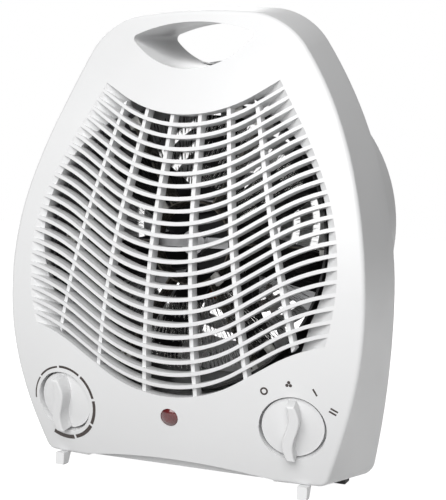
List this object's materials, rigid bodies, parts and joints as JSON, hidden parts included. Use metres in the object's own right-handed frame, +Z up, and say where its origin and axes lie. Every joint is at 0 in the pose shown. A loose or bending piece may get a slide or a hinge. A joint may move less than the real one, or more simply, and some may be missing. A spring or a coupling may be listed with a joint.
{
  "type": "fan heater",
  "caption": "Upright electric fan heater with a wavy louvred front, integral carrying handle, round rear drum, thermostat knob, heat selector knob and indicator lamp.",
  "frame": {"origin": "on the floor below the middle of the heater's overall box", "axes": "+Z up, -Y towards the room (the side that blows), +X to the right of someone facing the grille"},
  "size_m": [0.215, 0.119, 0.276],
  "materials": {
    "white_plastic": "satin",
    "dark_plastic": "matt",
    "black_rubber": "matt",
    "steel": "plain",
    "red_lens": "translucent gloss",
    "neon_glass": "clear",
    "dark_ink": "pad-printed",
    "mica": "mica board",
    "resistance_wire": "bright drawn wire",
    "ceramic": "unglazed",
    "copper": "enamelled copper wire",
    "bronze": "sintered",
    "natural_plastic": "natural"
  },
  "bodies": {
    "housing": {"front_shell": "white_plastic", "rear_shell": "white_plastic", "front_foot_right": "white_plastic", "front_foot_left": "white_plastic", "rear_foot_right": "black_rubber", "rear_foot_left": "black_rubber", "thermostat_body": "dark_plastic", "selector_switch": "dark_plastic", "cord_gland": "dark_plastic", "air_duct": "dark_plastic", "lamp_lens": "red_lens", "neon_lamp": "neon_glass", "dial_scale": "dark_ink", "selector_marks": "dark_ink", "mica_frame": "mica", "heating_wire_inner": "resistance_wire", "heating_wire_middle": "resistance_wire", "heating_wire_outer": "resistance_wire", "ceramic_supports": "ceramic", "thermal_cutout": "steel", "thermal_fuse": "steel", "motor_core": "steel", "motor_bracket": "steel", "motor_cover": "steel", "case_screws": "steel", "motor_coil": "copper", "bearing_front": "bronze", "bearing_rear": "bronze", "terminal_block": "natural_plastic"},
    "thermostat": {"thermostat_knob": "white_plastic", "thermostat_shaft": "steel"},
    "selector": {"selector_knob": "white_plastic", "selector_shaft": "steel"},
    "fan": {"impeller": "dark_plastic", "motor_shaft": "steel", "motor_rotor": "steel"}
  },
  "joints": [
    {"name": "thermostat_turn", "type": "hinge", "parent": "housing", "child": "thermostat", "pos_m": [-0.06899, -0.04488, 0.0386], "axis": [-0.1389, -0.957, -0.2548], "range_deg": [-207, 95]},
    {"name": "selector_turn", "type": "hinge", "parent": "housing", "child": "selector", "pos_m": [0.06899, -0.04488, 0.0386], "axis": [0.1389, -0.957, -0.2548], "range_deg": [-70, 35]},
    {"name": "fan_spin", "type": "hinge", "parent": "housing", "child": "fan", "pos_m": [0, 0.01, 0.134], "axis": [0, -1, 0], "continuous": true}
  ]
}
